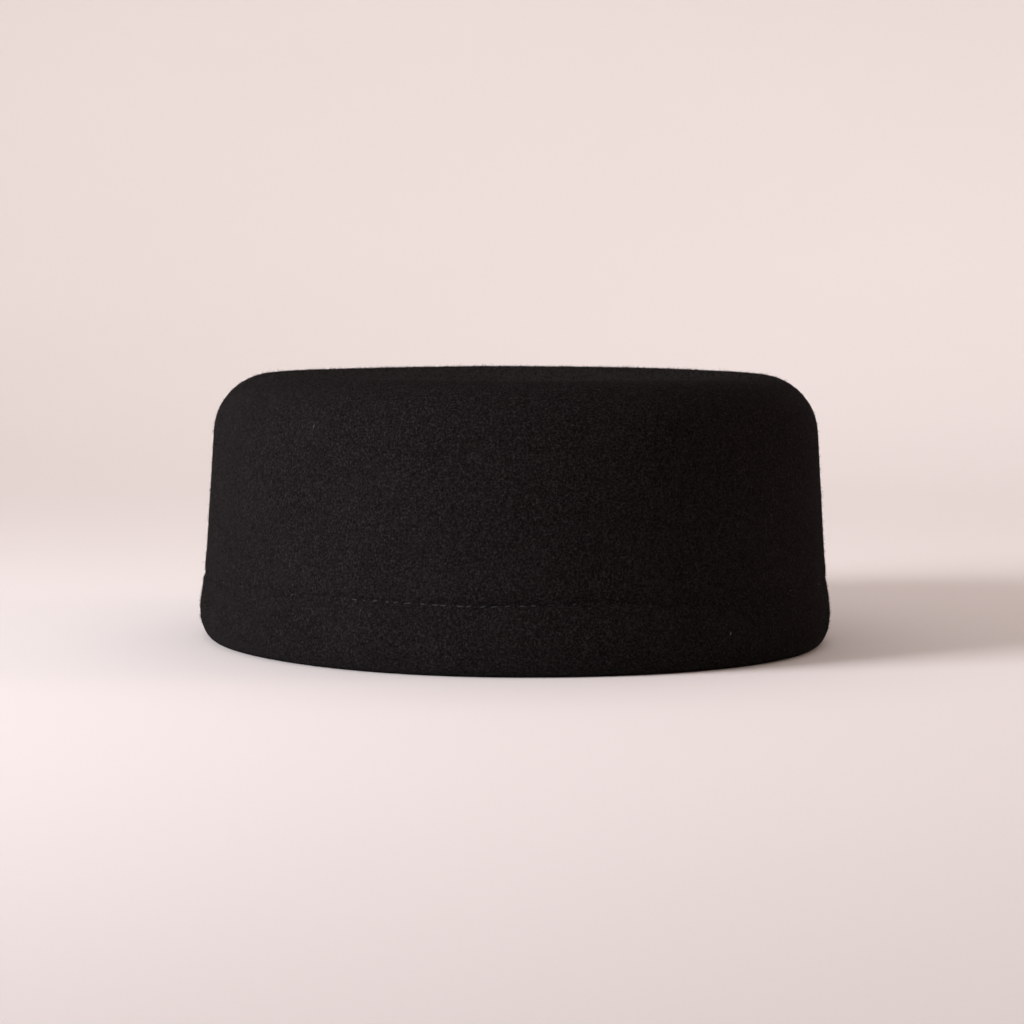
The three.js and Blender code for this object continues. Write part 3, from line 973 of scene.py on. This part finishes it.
def loop_path():
    """The loop's way: its route's rows set out from the loop's place on the rim, the first column
    towards the back along the rim, the second in from the oval and the third up, then made one smooth
    curve."""
    point, outward = rim_oval(np.array(LOOP_ANGLE))
    towards_back = np.array([outward[1], -outward[0]])
    back, inset, z = LOOP_ROUTE.T
    flat = point + back[:, None] * towards_back - inset[:, None] * outward
    return smooth_path(np.concatenate([flat, z[:, None]], 1), LOOP_STEPS)


# The small cord loop, two plies twisted
loop_radius = LOOP_CORD / 2 * LOOP_FULLNESS
cord_points = cord_skin(loop_path(), loop_radius, LOOP_SIDES, PLIES, PLY_LAY, PLY_GROOVE)
loop_maps = cord_maps(1, len(cord_points), LOOP_SIDES)
cord_loop = put_mesh("cord_loop", *capped_cords(cord_points[None]), **loop_maps)
finish_piece(cord_loop, CORD_FINISH, "loop_cord", "side_loop")


def nap_hairs(rows, count, seed):
    """Loose fibres on the felt: their roots lie at random over the given rings, evenly by area. Each is
    a bent three-sided spike of two stretches that leaves the felt at a low angle in any direction and
    curls on."""
    chance = np.random.default_rng(seed)
    skin = np.concatenate([felt_points[rows], felt_points[rows, :1]], 1)
    corner = skin[:-1, :-1].reshape(-1, 3)
    across = (skin[:-1, 1:] - skin[:-1, :-1]).reshape(-1, 3)
    down = (skin[1:, :-1] - skin[:-1, :-1]).reshape(-1, 3)
    face = np.cross(down, across)
    area = np.linalg.norm(face, axis=1)
    pick = chance.choice(len(face), count, p=area / area.sum())
    outward = face[pick] / area[pick, None]
    share = chance.random((2, count, 1))
    root = corner[pick] + share[0] * across[pick] + share[1] * down[pick]
    east = across[pick] / np.linalg.norm(across[pick], axis=1, keepdims=True)
    north = np.cross(outward, east)
    way = chance.uniform(0, 2 * np.pi, count)
    curl = chance.normal(0, NAP_CURL, count)
    lift = np.abs(chance.normal(*NAP_LIFT, count))
    fall = lift * chance.uniform(*NAP_FALL, count)
    size = NAP_LENGTH * np.exp(chance.normal(0, NAP_UNEVEN, count))[:, None]

    def heading(turn, rise):
        """The direction at that turn along the felt, raised out of it by the angle rise."""
        level = np.cos(turn)[:, None] * east + np.sin(turn)[:, None] * north
        return np.cos(rise)[:, None] * level + np.sin(rise)[:, None] * outward

    first, second = heading(way, lift), heading(way + curl, fall)
    root = root - 0.5 * NAP_THICKNESS * outward
    bend = root + 0.5 * size * first
    tip = bend + 0.5 * size * second
    side = np.cross(first, outward)
    side /= np.linalg.norm(side, axis=1, keepdims=True)
    above = np.cross(side, first)
    around = even_turns(3)[:, None]
    ring = 0.5 * NAP_THICKNESS * (np.cos(around) * above[:, None] + np.sin(around) * side[:, None])
    points = np.concatenate([root[:, None] + ring, bend[:, None] + NAP_TAPER * ring, tip[:, None]], 1)
    each = (np.arange(count) * points.shape[1])[:, None, None]
    quads = np.array([(0, 1, 4, 3), (1, 2, 5, 4), (2, 0, 3, 5)])[None] + each
    triangles = np.array([(0, 2, 1), (3, 4, 6), (4, 5, 6), (5, 3, 6)])[None] + each
    return points.reshape(-1, 3), quads.reshape(-1, 4), triangles.reshape(-1, 3)


def nap_map(count):
    """The nap's flat map: a cell for each fibre, with its three sides beside each other, the root's cap
    below them and the tip above."""
    near = np.arange(3) / 3
    far = near + 1 / 3
    low, middle = np.full(3, 0.2), np.full(3, 0.6)
    sides = np.stack([near, low, far, low, far, middle, near, middle], -1).reshape(-1, 2)
    cap = np.array([(0, 0), (0.5, 0), (0.25, 0.18)])
    tip = np.stack([near, middle, far, middle, near + 1 / 6, np.ones(3)], -1).reshape(-1, 2)
    return np.concatenate([cell_map(part, count) for part in (sides, np.concatenate([cap, tip]))])


# The felt's nap: short fibres that soften its outline, over the top, the side and the hem
ring_heights = felt_rows[:, 1]
shown = np.arange(felt_rings)[(felt_rows[:, 3] > 0) & (ring_heights > NAP_LOWEST)]
is_top = ring_heights[shown] >= EDGE_Z + NAP_TOP_SHARE * TOP_EDGE_RADIUS
is_hem = ring_heights[shown] < STITCH_HEIGHT
for name, rows, count, seed in (("felt_nap_top", shown[is_top], 11000, 21),
                                ("felt_nap_side", shown[~is_top & ~is_hem], 14000, 22),
                                ("felt_nap_hem", shown[is_hem], 9000, 23)):
    nap = put_mesh(name, *nap_hairs(rows, count, seed), OFBake=nap_map(count))
    finish_piece(nap, NAP_FINISH, "felt")


def stray_fibres(places):
    """Stray fibres caught on the felt, each an arc that lies along the surface and lifts as a cosine in
    its middle. Each place gives an angle and a height on the outside, the way the fibre lies, and its
    bend."""
    angle, z, way, bend = places.T
    share = np.linspace(-0.5, 0.5, LINT_RINGS)
    heading = way[:, None] + bend[:, None] * share
    step = LINT_LENGTH / (LINT_RINGS - 1) * np.stack([np.cos(heading), np.sin(heading)])
    radius = np.hypot(HALF_WIDTH * np.sin(angle), HALF_LENGTH * np.cos(angle))
    along = np.cumsum(step[0], axis=1) / radius[:, None]
    height = z[:, None] + np.cumsum(step[1], axis=1)
    lift = LINT_THICKNESS * (LINT_LIFT[0] + LINT_LIFT[1] * np.cos(np.pi * share))
    spine = on_hat(angle[:, None] + along, outside_inset(height) - lift, height)
    thin = LINT_THICKNESS / 2 * np.sqrt(LINT_ENDS - 4 * share ** 2)
    return np.stack([cord_skin(path, thin, LINT_SIDES) for path in spine])


# Pale lint, where a few fibres have caught on the felt
lint_maps = cord_maps(len(LINT), LINT_RINGS, LINT_SIDES)
stray_lint = put_mesh("stray_lint", *capped_cords(stray_fibres(LINT)), **lint_maps)
finish_piece(stray_lint, LINT_FINISH, "felt")


# The floor and the light

FLOOR_FLAT = 0.8
FLOOR_BEND = 3.2
FLOOR_WALL = 1.0
FLOOR_GAP = 0.1 * MM
FLOOR_MIDDLE = 0.05
FLOOR_RINGS = 12
BEND_RINGS = 24
FLOOR_SIDES = 128
FLOOR_CLOUDS = 3.0
FLOOR_ROUGHNESS = 0.85


def studio_bowl():
    """The pale floor: flat out to a wide ring, then a quarter round up into a low wall, turned about
    the middle, so that floor and background run into each other on every side."""
    turn = np.linspace(0, np.pi / 2, BEND_RINGS)
    rim = FLOOR_FLAT + FLOOR_BEND
    radius = np.concatenate([np.linspace(FLOOR_MIDDLE, FLOOR_FLAT, FLOOR_RINGS),
                             FLOOR_FLAT + FLOOR_BEND * np.sin(turn)[1:], [rim]])[:, None]
    height = np.concatenate([np.zeros(FLOOR_RINGS), FLOOR_BEND * (1 - np.cos(turn))[1:],
                             [FLOOR_BEND + FLOOR_WALL]])[:, None] - FLOOR_GAP
    around = even_turns(FLOOR_SIDES)
    points = np.stack(np.broadcast_arrays(radius * np.cos(around), radius * np.sin(around), height), -1)
    rings = len(radius)
    centre = np.array([[0, 0, -FLOOR_GAP]])
    middle = end_fans(rings, FLOOR_SIDES, rings * FLOOR_SIDES, 0)[:FLOOR_SIDES]
    return put_mesh("studio_floor", np.concatenate([points.reshape(-1, 3), centre]),
                    ring_faces(rings, FLOOR_SIDES, False), middle)


def floor_finish(name, dark, light):
    """Pale paint with a very faint cloudiness."""
    material, tree, shader = new_finish(name, specular=0.2)
    cloud = noise(tree, object_place(tree), FLOOR_CLOUDS, detail=3)
    feed(tree, shader.inputs["Base Color"], blend(tree, cloud, dark, light))
    feed(tree, shader.inputs["Roughness"], FLOOR_ROUGHNESS)
    return material


FLOOR_FINISH = floor_finish("pale floor", dark=(0.80, 0.755, 0.75, 1), light=(0.82, 0.775, 0.77, 1))
floor = studio_bowl()
floor.data.materials.append(FLOOR_FINISH)


def soft_light(name, azimuth, elevation, distance, size, power, colour, target=AIM, spread=math.pi):
    """A square soft box on that side of the hat, which faces the target and lights a cone so wide."""
    data = bpy.data.lights.new(name, "AREA")
    data.size = size
    data.energy = power
    data.color = colour
    data.spread = spread
    lamp = bpy.data.objects.new(name, data)
    lamp.visible_camera = False
    bpy.context.collection.objects.link(lamp)
    lamp.location = AIM + distance * direction(azimuth, elevation)
    lamp.rotation_euler = (target - lamp.location).to_track_quat("-Z", "Y").to_euler()


# A cool key from the wearer's right, a weak warm fill from the left, soft light from above, and a wash
# on the background
BEHIND = AZIMUTH + 180
soft_light("key_light", azimuth=-75, elevation=17, distance=1.4, size=0.62, power=6.0,
           colour=(0.97, 0.97, 1.0), spread=math.radians(75))
soft_light("fill_light", azimuth=75, elevation=17, distance=1.6, size=0.6, power=0.8,
           colour=(1.0, 0.7, 0.5), spread=math.radians(75))
soft_light("top_light", azimuth=0, elevation=86, distance=1.8, size=2.4, power=2.5,
           colour=(1.0, 0.98, 0.97))
soft_light("back_light", azimuth=BEHIND, elevation=48, distance=2.2, size=2.0, power=19.5,
           colour=(1.0, 0.95, 0.93), target=2.6 * direction(BEHIND, 6))

world = bpy.data.worlds.new("studio")
world.use_nodes = True
world.node_tree.nodes["Background"].inputs["Color"].default_value = (1.0, 0.89, 0.84, 1)
world.node_tree.nodes["Background"].inputs["Strength"].default_value = 0.55
bpy.context.scene.world = world
bpy.context.scene.view_settings.view_transform = "Standard"
